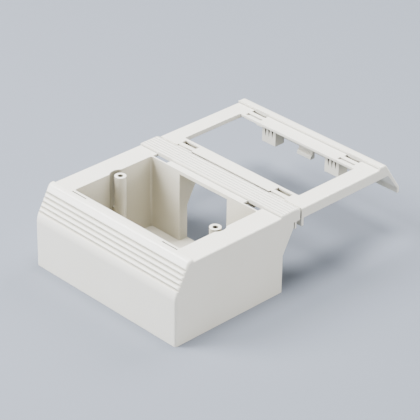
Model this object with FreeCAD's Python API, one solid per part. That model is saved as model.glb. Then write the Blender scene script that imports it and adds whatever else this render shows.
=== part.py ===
import FreeCAD, Part
import math
import os

from FreeCAD import Vector

# Raceway offset box: a deep device box that stands on the wall beside a surface raceway,
# and a bezel frame, level with it, that bridges the raceway. X runs along the raceway,
# Y across it from the box to the frame, and Z away from the wall. The origin lies on the
# wall plane, under the centre of the box's device opening. Lengths are in millimetres.

# Sizes shared by both mouldings
length = 124.0
channel_z = 52.3
channel_rise = 1.6
slope_lean = 0.54
shoulder_flat = 2.9
shoulder_round = 4.0
seam_clearance = 0.3
seam_bow = 0.9
plate_end_round = 1.0

# Outer skin of the box
plate_front = 36.9
plate_rear = 35.0
front_wall_height = 33.7
front_bend_round = 14.0
front_end_round = 1.6
skin = 2.5
rear_flange = 1.2
raceway_setback = 1.6
raceway_wall_height = 25.8
raceway_slope_drop = 11.9

# Strip that covers the near edge of the raceway, with its rolled nose and hook lip
strip_width = 16.5
nose_round = 4.0
nose_depth = 8.7
nose_wall = 1.8
nose_hollow = 2.1
strip_end_round = 1.5
hook_lip = 1.5
hook_lip_depth = 13.4
hook_lip_length = 56.0

# Grooves on the front slope and on the strip
front_groove_count = 5
front_groove_pitch = 3.1
front_groove_start = 6.4
front_groove_width = 2.0
front_groove_depth = 1.0
strip_groove_count = 6
strip_groove_pitch = 2.3
strip_groove_start = 2.0
strip_groove_width = 1.0
strip_groove_depth = 0.7

# Device well inside the box
opening_length = 92.5
opening_front = 32.6
opening_rear = 29.9
opening_round = 1.5
well_wall = 2.0
well_floor = 2.5
passage_width = 41.5
jamb = 2.0

# Posts for the device screws, the niches behind them and the wall screws
device_screw_spacing = 83.3
post_diameter = 7.4
post_bore = 3.6
post_bore_depth = 25.0
post_drop = 0.7
post_gap = 2.95
post_web = 2.0
post_web_drop = 24.0
wall_screw_spacing_x = 56.0
wall_screw_spacing_y = 36.0
wall_screw_bore = 4.5

# Slots for the plate's tabs, beside the device opening
tab_slot_length = 12.6
tab_slot_inset = 0.2
tab_slot_depth = 3.0
rear_slot_bridge = 0.9
front_slot_bridge = 1.6
front_slot_width = 1.3

# Bezel frame
bridge_width = 69.5
frame_plate = 1.8
near_leg = 1.8
near_leg_depth = 12.3
frame_side = 2.0
frame_side_depth = 6.9
frame_side_setback = 0.6
far_shoulder_flat = 5.6
frame_slope_lean = 0.68
frame_slope_depth = 21.0
frame_bend_round = 4.5
frame_tip_height = 3.4
frame_lip_root = 3.5
frame_lip_wall = 2.5
frame_end_round = 1.2
window_near_margin = 10.0
window_far_margin = 10.4
window_side_margin = 12.2
window_round = 1.0
window_lip = 1.4
window_lip_depth = 2.9

# Slots with catch pockets, and shallow recesses, at the four corners of the frame's window
corner_slot_length = 12.3
corner_slot_end = 3.0
near_slot_width = 3.5
near_slot_margin = 1.9
far_slot_width = 2.7
far_slot_margin = 0.3
pocket_depth = 5.0
pocket_undercut = 0.6
pocket_wall = 1.2
corner_recess_length = 13.0
corner_recess_depth = 1.0
near_recess_width = 1.8
far_recess_width = 2.6
far_recess_margin = 5.8

# Snap clips and the centre hook under the frame's far flange
clip_spacing = 55.2
clip_width = 12.0
clip_thickness = 8.0
clip_reach = 14.7
clip_setback = 4.1
clip_slit_count = 3
clip_slit_width = 2.2
clip_slit_height = 8.5
clip_slit_depth = 3.5
hook_width = 12.0
hook_thickness = 2.0
hook_reach = 14.6
hook_setback = 9.5
hook_toe = 1.5
hook_toe_height = 2.0

# Overlap that makes a cut or a joint between solids clean, and the slack in finding an edge
over = 1.0
nearly = 0.001

# Places worked out from the sizes above
half_length = length / 2
top_z = channel_z + channel_rise
flange_z = channel_z - skin
front_step_y = -plate_front
step_y = plate_rear
shoulder_y = front_step_y - shoulder_flat
front_y = shoulder_y - slope_lean * (top_z - front_wall_height)
raceway_y = step_y + raceway_setback
raceway_slope_top = top_z - raceway_slope_drop
raceway_slope_y = raceway_y + slope_lean * (raceway_slope_top - raceway_wall_height)
nose_y = step_y + strip_width
nose_bottom = top_z - nose_depth
rear_bay_y = opening_rear + well_wall
rear_under = channel_z - rear_flange
hook_lip_y = nose_y - nose_wall - nose_hollow
frame_y = nose_y + seam_clearance
frame_under = channel_z - frame_plate
far_step_y = frame_y + bridge_width
far_shoulder_y = far_step_y + far_shoulder_flat
window_near_y = frame_y + window_near_margin
window_far_y = far_step_y - window_far_margin
window_half = half_length - window_side_margin
corner_slot_x = window_half - corner_slot_end
near_slot_y = window_near_y - near_slot_margin
far_slot_y = far_step_y - far_slot_margin
lip_tip_y = far_shoulder_y + frame_slope_lean * frame_slope_depth
lip_bend_z = top_z - frame_slope_depth
lip_tip_z = lip_bend_z - frame_tip_height
post_x = device_screw_spacing / 2
post_top = channel_z - post_drop


def rounded_wire(corners, axis):
    """Closed wire through flat corners (a, b, radius), seen along "x" or "z"."""
    points = [Vector(0, a, b) if axis == "x" else Vector(a, b, 0) for a, b, _ in corners]
    edges = []
    joints = []
    for i, (_, _, radius) in enumerate(corners):
        corner = points[i]
        before = (points[i - 1] - corner).normalize()
        after = (points[(i + 1) % len(points)] - corner).normalize()
        if radius == 0:
            joints.append((corner, corner))
            continue
        half_angle = before.getAngle(after) / 2
        reach = radius / math.tan(half_angle)
        inward = (before + after).normalize()
        centre = corner + inward * (radius / math.sin(half_angle))
        start = corner + before * reach
        end = corner + after * reach
        edges.append(Part.Arc(start, centre - inward * radius, end).toShape())
        joints.append((start, end))
    for i, (_, end) in enumerate(joints):
        start = joints[(i + 1) % len(joints)][0]
        edges.append(Part.LineSegment(end, start).toShape())
    return Part.Wire(Part.__sortEdges__(edges))


def along_x(corners, x_start, x_end):
    """Prism along X of a YZ outline."""
    face = Part.Face(rounded_wire(corners, "x"))
    face.translate(Vector(x_start, 0, 0))
    return face.extrude(Vector(x_end - x_start, 0, 0))


def upright_block(x_start, x_end, y_start, y_end, z_start, z_end, radius=0):
    """Block with its four upright edges rounded."""
    plan = [(x_start, y_start), (x_end, y_start), (x_end, y_end), (x_start, y_end)]
    face = Part.Face(rounded_wire([(x, y, radius) for x, y in plan], "z"))
    face.translate(Vector(0, 0, z_start))
    return face.extrude(Vector(0, 0, z_end - z_start))


def upright_rod(x, y, diameter, z_start, z_end):
    return Part.makeCylinder(diameter / 2, z_end - z_start, Vector(x, y, z_start))


def joined(solids):
    """One solid from several that overlap."""
    return solids[0].fuse(solids[1:]).removeSplitter()


def round_ends(solid, top, radius):
    """Round the top edge of both X ends, and the edges that run on smoothly from it."""
    edges = []
    for edge in solid.Edges:
        box = edge.BoundBox
        along_end = box.XLength < nearly and half_length - abs(box.XMin) < nearly
        along_top = box.ZLength < nearly and abs(box.ZMin - top) < nearly
        if along_end and along_top:
            edges.append(edge)
    return solid.makeFillet(radius, edges)


def groove(surface, normal, width, depth):
    """V groove along X, cut square into a surface at a YZ point."""
    side = Vector(0, -normal.z, normal.y)
    mouth = surface + normal * depth
    corners = [mouth + side * width, surface - normal * depth, mouth - side * width]
    return along_x([(corner.y, corner.z, 0) for corner in corners], -half_length - over, half_length + over)


def box_envelope():
    """Outer form of the box, solid: front, channel and strip, with the raceway's outline at its rear."""
    front = [
        (front_y, 0, 0),
        (front_y, front_wall_height, front_bend_round),
        (shoulder_y, top_z, shoulder_round),
        (front_step_y, top_z, 0),
        (front_step_y, 0, 0),
    ]
    channel = [
        (front_step_y, 0, 0),
        (front_step_y, channel_z, 0),
        (step_y, channel_z, 0),
        (step_y, nose_bottom, 0),
        (raceway_slope_y, nose_bottom, 0),
        (raceway_slope_y, raceway_slope_top, 0),
        (raceway_y, raceway_wall_height, 0),
        (raceway_y, 0, 0),
    ]
    strip = [
        (step_y, nose_bottom, 0),
        (step_y, top_z, 0),
        (nose_y, top_z, nose_round),
        (nose_y, nose_bottom, 0),
        (hook_lip_y, nose_bottom, 0),
        (hook_lip_y, top_z - hook_lip_depth, 0),
        (hook_lip_y - hook_lip, top_z - hook_lip_depth, 0),
        (hook_lip_y - hook_lip, nose_bottom, 0),
    ]
    return joined([
        round_ends(along_x(channel, -half_length, half_length), channel_z, plate_end_round),
        round_ends(along_x(front, -half_length, half_length), top_z, front_end_round),
        round_ends(along_x(strip, -half_length, half_length), top_z, strip_end_round),
    ])


def box_cavity():
    """Hollow between the end walls, behind the skin and under the strip, open below and to the raceway."""
    inner_front = front_y + skin
    slope_shift = skin * math.hypot(1, slope_lean)
    inner_bend_z = front_wall_height + (skin - slope_shift) / slope_lean
    inner_top_y = front_y + slope_shift + slope_lean * (flange_z - front_wall_height)
    behind_skin = [
        (inner_front, -over, 0),
        (inner_front, inner_bend_z, 0),
        (inner_top_y, flange_z, 0),
        (rear_bay_y, flange_z, 0),
        (rear_bay_y, rear_under, 0),
        (nose_y - nose_wall, rear_under, 0),
        (nose_y - nose_wall, -over, 0),
    ]
    inner_half = half_length - skin
    return along_x(behind_skin, -inner_half, inner_half)


def centre_lip():
    """Hook lip under the middle of the strip, in line with the hooks of the end walls."""
    half = hook_lip_length / 2
    bottom = top_z - hook_lip_depth
    return upright_block(-half, half, hook_lip_y - hook_lip, hook_lip_y, bottom, rear_under + over / 2)


def device_well():
    """Tub under the device opening, with niches for the screw posts and jambs beside the cable passage."""
    half = opening_length / 2
    niche = post_diameter + 2 * post_gap
    top = channel_z - over
    outside = [upright_block(-half - well_wall, half + well_wall, -opening_front - well_wall, rear_bay_y,
                             0, top, opening_round + well_wall)]
    inside = [upright_block(-half, half, -opening_front, opening_rear, well_floor, top_z, opening_round)]
    for side in (-1, 1):
        outside.append(upright_rod(side * post_x, 0, niche + 2 * well_wall, 0, top))
        inside.append(upright_rod(side * post_x, 0, niche, well_floor, top_z))
    jamb_outline = [
        (opening_rear + well_wall / 2, 0, 0),
        (raceway_y, 0, 0),
        (raceway_y, raceway_wall_height, 0),
        (raceway_slope_y, raceway_slope_top, 0),
        (raceway_slope_y, rear_under + over / 2, 0),
        (opening_rear + well_wall / 2, rear_under + over / 2, 0),
    ]
    half_passage = passage_width / 2
    outside.append(along_x(jamb_outline, -half_passage - jamb, half_passage + jamb))
    inside.append(upright_block(-half_passage, half_passage, 0, nose_y, well_floor, flange_z))
    return joined(outside), joined(inside)


def screw_posts():
    """Posts for the device screws, each tied to its niche by a web."""
    solids = []
    for side in (-1, 1):
        solids.append(upright_rod(side * post_x, 0, post_diameter, 0, post_top))
        niche_x = side * (post_x + post_diameter / 2 + post_gap + well_wall / 2)
        web_x = sorted((side * post_x, niche_x))
        solids.append(upright_block(*web_x, -post_web / 2, post_web / 2, 0, post_top - post_web_drop))
    return solids


def screw_bores():
    bores = []
    for side_x in (-1, 1):
        bores.append(upright_rod(side_x * post_x, 0, post_bore, post_top - post_bore_depth, post_top + over))
        for side_y in (-1, 1):
            x = side_x * wall_screw_spacing_x / 2
            y = side_y * wall_screw_spacing_y / 2
            bores.append(upright_rod(x, y, wall_screw_bore, -over, well_floor + over))
    return bores


def tab_slots():
    """Slots for the plate's tabs: at the rear through the flange, up to the strip, and blind at the front."""
    slots = []
    slot_end = opening_length / 2 - tab_slot_inset
    front_slot_y = -opening_front - front_slot_bridge
    for side in (-1, 1):
        slot_x = sorted((side * slot_end, side * (slot_end - tab_slot_length)))
        for y_start, y_end in ((opening_rear + rear_slot_bridge, step_y),
                               (front_slot_y - front_slot_width, front_slot_y)):
            slots.append(upright_block(*slot_x, y_start, y_end, channel_z - tab_slot_depth, channel_z + over))
    return slots


def box_grooves():
    """Grooves down the front slope and across the strip."""
    cuts = []
    slope_down = Vector(0, -slope_lean, -1).normalize()
    slope_out = Vector(0, -1, slope_lean).normalize()
    for i in range(front_groove_count):
        place = Vector(0, shoulder_y, top_z) + slope_down * (front_groove_start + i * front_groove_pitch)
        cuts.append(groove(place, slope_out, front_groove_width, front_groove_depth))
    for i in range(strip_groove_count):
        place = Vector(0, step_y + strip_groove_start + i * strip_groove_pitch, top_z)
        cuts.append(groove(place, Vector(0, 0, 1), strip_groove_width, strip_groove_depth))
    return cuts


def make_offset_box():
    outside, inside = device_well()
    shell = box_envelope().cut(box_cavity())
    shell = shell.fuse([outside, centre_lip()]).cut(inside)
    shell = shell.fuse(screw_posts()).cut(screw_bores())
    shell = shell.cut(tab_slots() + box_grooves())
    return shell.removeSplitter()


def lip_y(z, depth):
    """Place across the lip's slope at a height, some way in from its outer face."""
    return far_shoulder_y + frame_slope_lean * (top_z - z) - depth * math.hypot(1, frame_slope_lean)


def frame_envelope():
    """Bridge plate with its near leg, and the far shoulder with its sloping lip."""
    inner_tip_y = lip_tip_y - frame_lip_wall
    plate = [
        (frame_y, channel_z - near_leg_depth, 0),
        (frame_y, channel_z, 0),
        (far_step_y, channel_z, 0),
        (far_step_y, frame_under, 0),
        (frame_y + near_leg, frame_under, 0),
        (frame_y + near_leg, channel_z - near_leg_depth, 0),
    ]
    lip = [
        (far_step_y, frame_under, 0),
        (far_step_y, top_z, 0),
        (far_shoulder_y, top_z, shoulder_round),
        (lip_tip_y, lip_bend_z, frame_bend_round),
        (lip_tip_y, lip_tip_z, 0),
        (inner_tip_y, lip_tip_z, 0),
        (inner_tip_y, lip_bend_z, 0),
        (lip_y(frame_under, frame_lip_root), frame_under, 0),
    ]
    return joined([
        round_ends(along_x(plate, -half_length, half_length), channel_z, plate_end_round),
        round_ends(along_x(lip, -half_length, half_length), top_z, frame_end_round),
    ])


def frame_sides():
    """Side walls under the ends of the plate, closed into the lip."""
    bottom = channel_z - frame_side_depth
    top = frame_under + over
    sunk = frame_lip_wall / 2
    outline = [
        (frame_y + frame_side_setback, bottom, 0),
        (frame_y + frame_side_setback, top, 0),
        (lip_y(top, sunk), top, 0),
        (lip_y(bottom, sunk), bottom, 0),
    ]
    inner_x = half_length - frame_side
    return [along_x(outline, *sorted((side * half_length, side * inner_x))) for side in (-1, 1)]


def window_lips():
    """Lips under the plate along both ends of the window."""
    lips = []
    bottom = channel_z - window_lip_depth
    for side in (-1, 1):
        lip_x = sorted((side * (window_half - over), side * (window_half + window_lip)))
        lips.append(upright_block(*lip_x, window_near_y, window_far_y, bottom, frame_under + over / 2))
    return lips


def slot_places():
    """Ends of the four corner slots along X and across, as (x_start, x_end, y_start, y_end)."""
    places = []
    for side in (-1, 1):
        slot_x = sorted((side * corner_slot_x, side * (corner_slot_x - corner_slot_length)))
        for y_end, width in ((near_slot_y, near_slot_width), (far_slot_y, far_slot_width)):
            places.append((*slot_x, y_end - width, y_end))
    return places


def catch_pockets():
    """Closed boxes under the corner slots, and the room in them for the plate's hooked tabs."""
    boxes = []
    rooms = []
    bottom = channel_z - pocket_depth
    wall = pocket_wall
    for x_start, x_end, y_start, y_end in slot_places():
        y_end += pocket_undercut
        rooms.append(upright_block(x_start, x_end, y_start, y_end, bottom, frame_under))
        boxes.append(upright_block(x_start - wall, x_end + wall, y_start - wall, y_end + wall,
                                   bottom - wall, frame_under + over / 2))
    return boxes, rooms


def clip_slit(x, y):
    """Slit in a clip's front face, narrowing downwards to a point."""
    left = Vector(x - clip_slit_width / 2, y - over, frame_under)
    right = Vector(x + clip_slit_width / 2, y - over, frame_under)
    tip = Vector(x, y - over, frame_under - clip_slit_height)
    face = Part.Face(Part.makePolygon([left, right, tip, left]))
    return face.extrude(Vector(0, clip_slit_depth + over, 0))


def frame_clips():
    """Two snap clips, slit at the top of their front face, and the centre hook."""
    solids = []
    clip_y = window_far_y + clip_setback
    slit_pitch = clip_width / (clip_slit_count + 1)
    for side in (-1, 1):
        clip_x = side * clip_spacing / 2
        clip = upright_block(clip_x - clip_width / 2, clip_x + clip_width / 2, clip_y, clip_y + clip_thickness,
                             channel_z - clip_reach, frame_under + over)
        for i in range(clip_slit_count):
            clip = clip.cut(clip_slit(clip_x - clip_width / 2 + (i + 1) * slit_pitch, clip_y))
        solids.append(clip)
    hook_y = window_far_y + hook_setback
    hook_bottom = channel_z - hook_reach
    hook_outline = [
        (hook_y, frame_under + over, 0),
        (hook_y, hook_bottom + hook_toe_height + hook_toe, 0),
        (hook_y - hook_toe, hook_bottom + hook_toe_height, 0),
        (hook_y - hook_toe, hook_bottom, 0),
        (hook_y + hook_thickness, hook_bottom, 0),
        (hook_y + hook_thickness, frame_under + over, 0),
    ]
    solids.append(along_x(hook_outline, -hook_width / 2, hook_width / 2))
    return solids


def frame_cuts():
    """Window, corner slots and corner recesses, and the slight bow of the edge at the seam."""
    cuts = [upright_block(-window_half, window_half, window_near_y, window_far_y,
                          channel_z - window_lip_depth - over, top_z, window_round)]
    for place in slot_places():
        cuts.append(upright_block(*place, frame_under - over, channel_z + over))
    far_recess_end = far_step_y - far_recess_margin
    recess_z = channel_z - corner_recess_depth
    for side in (-1, 1):
        recess_x = sorted((side * corner_slot_x, side * (corner_slot_x - corner_recess_length)))
        for y_start, y_end in ((frame_y - over, frame_y + near_recess_width),
                               (far_recess_end - far_recess_width, far_recess_end)):
            cuts.append(upright_block(*recess_x, y_start, y_end, recess_z, channel_z + over))
    bow_radius = (half_length ** 2 + seam_bow ** 2) / (2 * seam_bow)
    cuts.append(upright_rod(0, frame_y + seam_bow - bow_radius, 2 * bow_radius,
                            channel_z - near_leg_depth - over, top_z + over))
    return cuts


def make_bezel_frame():
    boxes, rooms = catch_pockets()
    frame = frame_envelope().fuse(frame_sides() + window_lips() + frame_clips() + boxes)
    return frame.cut(rooms + frame_cuts()).removeSplitter()


os.makedirs("parts", exist_ok=True)
for name, shape in {"offset_box": make_offset_box(), "bezel_frame": make_bezel_frame()}.items():
    box = shape.BoundBox
    print(name, shape.isValid(), len(shape.Solids), "solid(s)", round(shape.Volume / 1000, 1), "cm3",
          [round(v, 1) for v in (box.XMin, box.XMax, box.YMin, box.YMax, box.ZMin, box.ZMax)])
    shape.exportStep(f"parts/{name}.step")
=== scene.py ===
import math

import bpy
from mathutils import Matrix, Vector


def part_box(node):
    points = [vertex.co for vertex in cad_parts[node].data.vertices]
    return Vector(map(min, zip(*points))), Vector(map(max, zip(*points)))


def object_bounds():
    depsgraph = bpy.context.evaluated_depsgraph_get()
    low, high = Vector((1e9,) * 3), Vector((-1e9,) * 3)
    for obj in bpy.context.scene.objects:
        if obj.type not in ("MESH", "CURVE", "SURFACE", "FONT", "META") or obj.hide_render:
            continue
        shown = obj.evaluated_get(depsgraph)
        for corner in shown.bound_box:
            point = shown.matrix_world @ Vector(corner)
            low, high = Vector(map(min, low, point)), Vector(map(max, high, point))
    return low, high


# Raceway offset box: its two mouldings in off-white plastic with softened edges, on a pale floor,
# in soft studio light, seen from the photograph's viewing angle. Lengths are in metres.

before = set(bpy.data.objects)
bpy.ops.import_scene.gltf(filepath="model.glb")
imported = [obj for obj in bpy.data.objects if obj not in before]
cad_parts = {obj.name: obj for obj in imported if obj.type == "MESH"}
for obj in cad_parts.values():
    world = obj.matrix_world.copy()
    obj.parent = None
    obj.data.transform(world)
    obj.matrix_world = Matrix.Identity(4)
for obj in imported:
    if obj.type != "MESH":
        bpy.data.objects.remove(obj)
cad_low, cad_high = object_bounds()

# Camera, fitted to the corners of the object in the photograph
PICTURE_PIXELS = 420
FOCAL_PIXELS = 2000
SENSOR_MM = 36
CAMERA_AZIMUTH = math.radians(45.64)
CAMERA_ELEVATION = math.radians(30.17)
CAMERA_ROLL = math.radians(0.89)
CAMERA_DISTANCE = 1.2278
CAMERA_TARGET = Vector((-0.0012, 0.0373, 0.030))
CAMERA_NEAR = 0.01
CAMERA_FAR = 100

# Edges, rounds and flats of the mouldings
EDGE_ROUND = 0.0004
EDGE_SAMPLES = 8
EDGE_ANGLE = math.radians(32)
FLAT_ANGLE = math.radians(0.4)
FLAT_WEIGHT = 100
WELD_DISTANCE = 1e-6

# Off-white plastic, faintly cloudy, with the fine grain of its mould
PLASTIC_LIGHT = (0.87, 0.84, 0.74, 1)
PLASTIC_SHADE = (0.85, 0.815, 0.71, 1)
PLASTIC_ROUGHNESS = (0.20, 0.28)
PLASTIC_IOR = 1.53
CLOUD_SCALE = 28
CLOUD_DETAIL = 4.0
CLOUD_ROUGHNESS = 0.6
CLOUD_LIMITS = (0.3, 0.6)
GRAIN_SCALE = 2600
GRAIN_DETAIL = 2.0
GRAIN_HEIGHT = 0.00002
GRAIN_STRENGTH = 0.35

# Painted shade where the plastic is closed in: a shade colour, the reach within which surfaces close
# a place in, and the open shares of its sky at which the painted shade is full and gone
OPEN_SAMPLES = 8
# Painted shade in the grooves
GROOVE_PAINTED_SHADE = (0.30, 0.29, 0.25, 1)
GROOVE_REACH = 0.0009
GROOVE_SHARES = (0.4, 1.0)
# Painted shade inside the well
WELL_PAINTED_SHADE = (0.515, 0.48, 0.38, 1)
WELL_REACH = 0.05
WELL_SHARES = (0.55, 0.93)
# Painted shade in the seam between the mouldings and in the slots
SEAM_PAINTED_SHADE = (0.07, 0.06, 0.04, 1)
SEAM_REACH = 0.0045
SEAM_SHARES = (0.18, 0.58)

# Bounds of the places where the painted shade stays off: the steps beside the well's mouth, above its
# rim, the tight ends of the seam on top, and the low parts of the niches
MOUTH_MIDDLE = -0.0013
MOUTH_HALF = 0.0325
RIM_DROP = 0.0027
SEAM_HALF = 0.0035
SEAM_DROP = 0.0044
SEAM_FADE = (0.034, 0.046)
SEAM_END_MARGIN = 0.0017
NICHE_FADE = (0.042, 0.028)

# Sockets of a colour mix, by place because their names repeat
MIX_SHARE = 0
MIX_FIRST = 6
MIX_SECOND = 7
MIX_RESULT = 2

# Floor and lights
FLOOR_SIZE = 12
FLOOR_COLOUR = (0.19, 0.21, 0.245, 1)
FLOOR_ROUGHNESS = 0.9
WORLD_COLOUR = (0.95, 0.975, 1.0, 1)
WORLD_STRENGTH = 0.04
COOL_LIGHT = (0.95, 0.965, 1.0)
WARM_LIGHT = (1.0, 0.98, 0.94)
LIGHTS = {
    "key": {"place": (-0.85, -0.85, 1.2), "size": 0.9, "power": 79, "colour": COOL_LIGHT},
    "top": {"place": (0, 0.03, 1.7), "size": 0.9, "power": 63, "colour": COOL_LIGHT},
    "back": {"place": (0, 1.2, 1.2), "size": 0.9, "power": 30, "colour": COOL_LIGHT},
    "low": {"place": (-0.93, -1.095, 0.375), "size": 0.45, "power": 15, "colour": COOL_LIGHT},
    "end": {"place": (1.7, 0, 0.15), "size": 0.4, "power": 21, "colour": WARM_LIGHT},
}
LIGHT_AIM = Vector((0, 0.03, 0.03))

# Places worked out from the frame
_, box_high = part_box("offset_box")
rim_z = cad_high.z - RIM_DROP
seam_y = box_high.y
seam_top_z = cad_high.z - SEAM_DROP
seam_end_x = cad_high.x - SEAM_END_MARGIN


def add_node(tree, kind, **sockets):
    """New shader node with its input sockets set by name."""
    node = tree.nodes.new(kind)
    for name, value in sockets.items():
        node.inputs[name.replace("_", " ")].default_value = value
    return node


def calculate(tree, operation, *terms):
    """Math node on sockets or numbers."""
    node = tree.nodes.new("ShaderNodeMath")
    node.operation = operation
    for socket, term in zip(node.inputs, terms):
        if isinstance(term, bpy.types.NodeSocket):
            tree.links.new(term, socket)
        else:
            socket.default_value = term
    return node.outputs["Value"]


def coordinates(tree, place):
    """X, Y and Z of a place."""
    axes = tree.nodes.new("ShaderNodeSeparateXYZ")
    tree.links.new(place, axes.inputs["Vector"])
    return tuple(axes.outputs)


def fade(tree, value, limits):
    """0 at the first of two limits and 1 at the second."""
    share = add_node(tree, "ShaderNodeMapRange", From_Min=limits[0], From_Max=limits[1])
    tree.links.new(value, share.inputs["Value"])
    return share.outputs["Result"]


def open_share(tree, reach, shares, alone):
    """How open a place is to surfaces within reach, of its own moulding alone or of both."""
    sky = add_node(tree, "ShaderNodeAmbientOcclusion", Distance=reach)
    sky.samples = OPEN_SAMPLES
    sky.only_local = alone
    return fade(tree, sky.outputs["AO"], shares)


def beside_mouth(tree, place):
    """1 on the steps and recesses on top of the mouldings, beside the well's mouth, where the well's
    painted shade stays off.
    """
    _, y, z = coordinates(tree, place)
    from_middle = calculate(tree, "ABSOLUTE", calculate(tree, "SUBTRACT", y, MOUTH_MIDDLE))
    beside = calculate(tree, "GREATER_THAN", from_middle, MOUTH_HALF)
    high = calculate(tree, "GREATER_THAN", z, rim_z)
    return calculate(tree, "MULTIPLY", beside, high)


def off_seam(tree, place):
    """1 at the tight ends of the seam on top, and low in the niches, where the painted shade of the seam
    and slots stays off.
    """
    x, y, z = coordinates(tree, place)
    from_middle = calculate(tree, "ABSOLUTE", x)
    inside_end = calculate(tree, "LESS_THAN", from_middle, seam_end_x)
    tight = calculate(tree, "MULTIPLY", fade(tree, from_middle, SEAM_FADE), inside_end)
    along = calculate(tree, "COMPARE", y, seam_y, SEAM_HALF)
    high = calculate(tree, "GREATER_THAN", z, seam_top_z)
    on_top = calculate(tree, "MULTIPLY", along, high)
    seam_end = calculate(tree, "MULTIPLY", tight, on_top)
    return calculate(tree, "MAXIMUM", seam_end, fade(tree, z, NICHE_FADE))


def shade(tree, colour, shade_colour, share):
    """Colour that turns to a painted shade colour as its open share falls."""
    mix = tree.nodes.new("ShaderNodeMix")
    mix.data_type = "RGBA"
    mix.inputs[MIX_FIRST].default_value = shade_colour
    tree.links.new(share, mix.inputs[MIX_SHARE])
    tree.links.new(colour, mix.inputs[MIX_SECOND])
    return mix.outputs[MIX_RESULT]


def cloudy_colour(tree, place):
    """Off-white that varies faintly from place to place."""
    cloud = add_node(tree, "ShaderNodeTexNoise", Scale=CLOUD_SCALE, Detail=CLOUD_DETAIL)
    cloud.inputs["Roughness"].default_value = CLOUD_ROUGHNESS
    tree.links.new(place, cloud.inputs["Vector"])
    ramp = tree.nodes.new("ShaderNodeValToRGB")
    tones = zip(ramp.color_ramp.elements, (PLASTIC_SHADE, PLASTIC_LIGHT), CLOUD_LIMITS)
    for element, colour, limit in tones:
        element.color = colour
        element.position = limit
    tree.links.new(cloud.outputs["Fac"], ramp.inputs["Fac"])
    return ramp.outputs["Color"]


def colour_with_painted_shade(tree, place):
    """The cloudy off-white with painted shade, darker in the grooves, the well, and the seam and slots.
    """
    groove_open = open_share(tree, GROOVE_REACH, GROOVE_SHARES, True)
    well_open = open_share(tree, WELL_REACH, WELL_SHARES, True)
    seam_open = open_share(tree, SEAM_REACH, SEAM_SHARES, False)
    well_open = calculate(tree, "MAXIMUM", well_open, beside_mouth(tree, place))
    seam_open = calculate(tree, "MAXIMUM", seam_open, off_seam(tree, place))
    # Painted shade laid over the cloudy colour: grooves, then the well, then the seam and slots
    colour = shade(tree, cloudy_colour(tree, place), GROOVE_PAINTED_SHADE, groove_open)
    colour = shade(tree, colour, WELL_PAINTED_SHADE, well_open)
    return shade(tree, colour, SEAM_PAINTED_SHADE, seam_open)


def moulded_plastic(name):
    """Satin plastic with faint cloudy colour, painted shade where it is closed in, uneven gloss, softened
    edges and a fine grain.
    """
    material = bpy.data.materials.new(name)
    material.use_nodes = True
    tree = material.node_tree
    shader = tree.nodes["Principled BSDF"]
    shader.inputs["IOR"].default_value = PLASTIC_IOR
    place = tree.nodes.new("ShaderNodeTexCoord").outputs["Object"]
    tree.links.new(colour_with_painted_shade(tree, place), shader.inputs["Base Color"])

    grain = add_node(tree, "ShaderNodeTexNoise", Scale=GRAIN_SCALE, Detail=GRAIN_DETAIL)
    tree.links.new(place, grain.inputs["Vector"])
    gloss = add_node(tree, "ShaderNodeMapRange", To_Min=PLASTIC_ROUGHNESS[0], To_Max=PLASTIC_ROUGHNESS[1])
    tree.links.new(grain.outputs["Fac"], gloss.inputs["Value"])
    tree.links.new(gloss.outputs["Result"], shader.inputs["Roughness"])

    edge = add_node(tree, "ShaderNodeBevel", Radius=EDGE_ROUND)
    edge.samples = EDGE_SAMPLES
    bump = add_node(tree, "ShaderNodeBump", Strength=GRAIN_STRENGTH, Distance=GRAIN_HEIGHT)
    tree.links.new(edge.outputs["Normal"], bump.inputs["Normal"])
    tree.links.new(grain.outputs["Fac"], bump.inputs["Height"])
    tree.links.new(bump.outputs["Normal"], shader.inputs["Normal"])
    return material


def smooth_rounds(node):
    """Smooth shading on the rounds of a moulding, with its flats kept flat up to their edges."""
    weld = node.modifiers.new("weld", "WELD")
    weld.merge_threshold = WELD_DISTANCE
    flatten = node.modifiers.new("flat_faces", "DECIMATE")
    flatten.decimate_type = "DISSOLVE"
    flatten.angle_limit = FLAT_ANGLE
    edges = node.modifiers.new("sharp_edges", "EDGE_SPLIT")
    edges.split_angle = EDGE_ANGLE
    shading = node.modifiers.new("flat_shading", "WEIGHTED_NORMAL")
    shading.mode = "FACE_AREA"
    shading.weight = FLAT_WEIGHT
    for face in node.data.polygons:
        face.use_smooth = True


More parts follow.
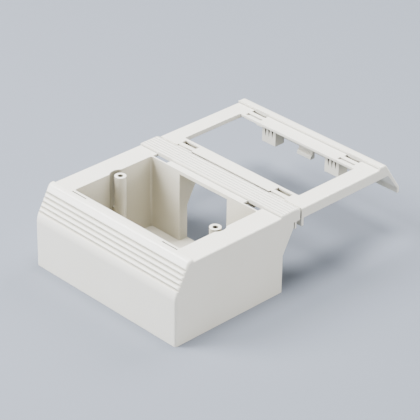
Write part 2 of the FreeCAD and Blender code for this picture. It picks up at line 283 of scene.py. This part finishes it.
def make_floor():
    bpy.ops.mesh.primitive_plane_add(size=FLOOR_SIZE, location=(0, 0, cad_low.z))
    floor = bpy.context.object
    floor.name = "floor"
    material = bpy.data.materials.new("floor_paper")
    material.use_nodes = True
    shader = material.node_tree.nodes["Principled BSDF"]
    shader.inputs["Base Color"].default_value = FLOOR_COLOUR
    shader.inputs["Roughness"].default_value = FLOOR_ROUGHNESS
    floor.data.materials.append(material)


def make_lights():
    world = bpy.data.worlds.new("studio")
    world.use_nodes = True
    sky = world.node_tree.nodes["Background"]
    sky.inputs["Color"].default_value = WORLD_COLOUR
    sky.inputs["Strength"].default_value = WORLD_STRENGTH
    bpy.context.scene.world = world
    for name, spec in LIGHTS.items():
        data = bpy.data.lights.new(name, "AREA")
        data.shape = "DISK"
        data.size = spec["size"]
        data.energy = spec["power"]
        data.color = spec["colour"]
        lamp = bpy.data.objects.new(name, data)
        lamp.location = spec["place"]
        lamp.rotation_mode = "QUATERNION"
        lamp.rotation_quaternion = (LIGHT_AIM - lamp.location).to_track_quat("-Z", "Y")
        bpy.context.scene.collection.objects.link(lamp)


def make_camera():
    back = Vector((
        math.sin(CAMERA_AZIMUTH) * math.cos(CAMERA_ELEVATION),
        -math.cos(CAMERA_AZIMUTH) * math.cos(CAMERA_ELEVATION),
        math.sin(CAMERA_ELEVATION),
    ))
    level = Vector((math.cos(CAMERA_AZIMUTH), math.sin(CAMERA_AZIMUTH), 0))
    upright = back.cross(level)
    right = level * math.cos(CAMERA_ROLL) + upright * math.sin(CAMERA_ROLL)
    up = back.cross(right)
    data = bpy.data.cameras.new("photograph")
    data.sensor_fit = "HORIZONTAL"
    data.sensor_width = SENSOR_MM
    data.lens = FOCAL_PIXELS / PICTURE_PIXELS * SENSOR_MM
    data.clip_start = CAMERA_NEAR
    data.clip_end = CAMERA_FAR
    camera = bpy.data.objects.new("photograph", data)
    turn = Matrix((right, up, back)).transposed()
    camera.matrix_world = Matrix.Translation(CAMERA_TARGET + back * CAMERA_DISTANCE) @ turn.to_4x4()
    bpy.context.scene.collection.objects.link(camera)
    bpy.context.scene.camera = camera


plastic = moulded_plastic("off_white_plastic")
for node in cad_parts.values():
    node.data.materials.clear()
    node.data.materials.append(plastic)
    smooth_rounds(node)

make_floor()
make_lights()
make_camera()
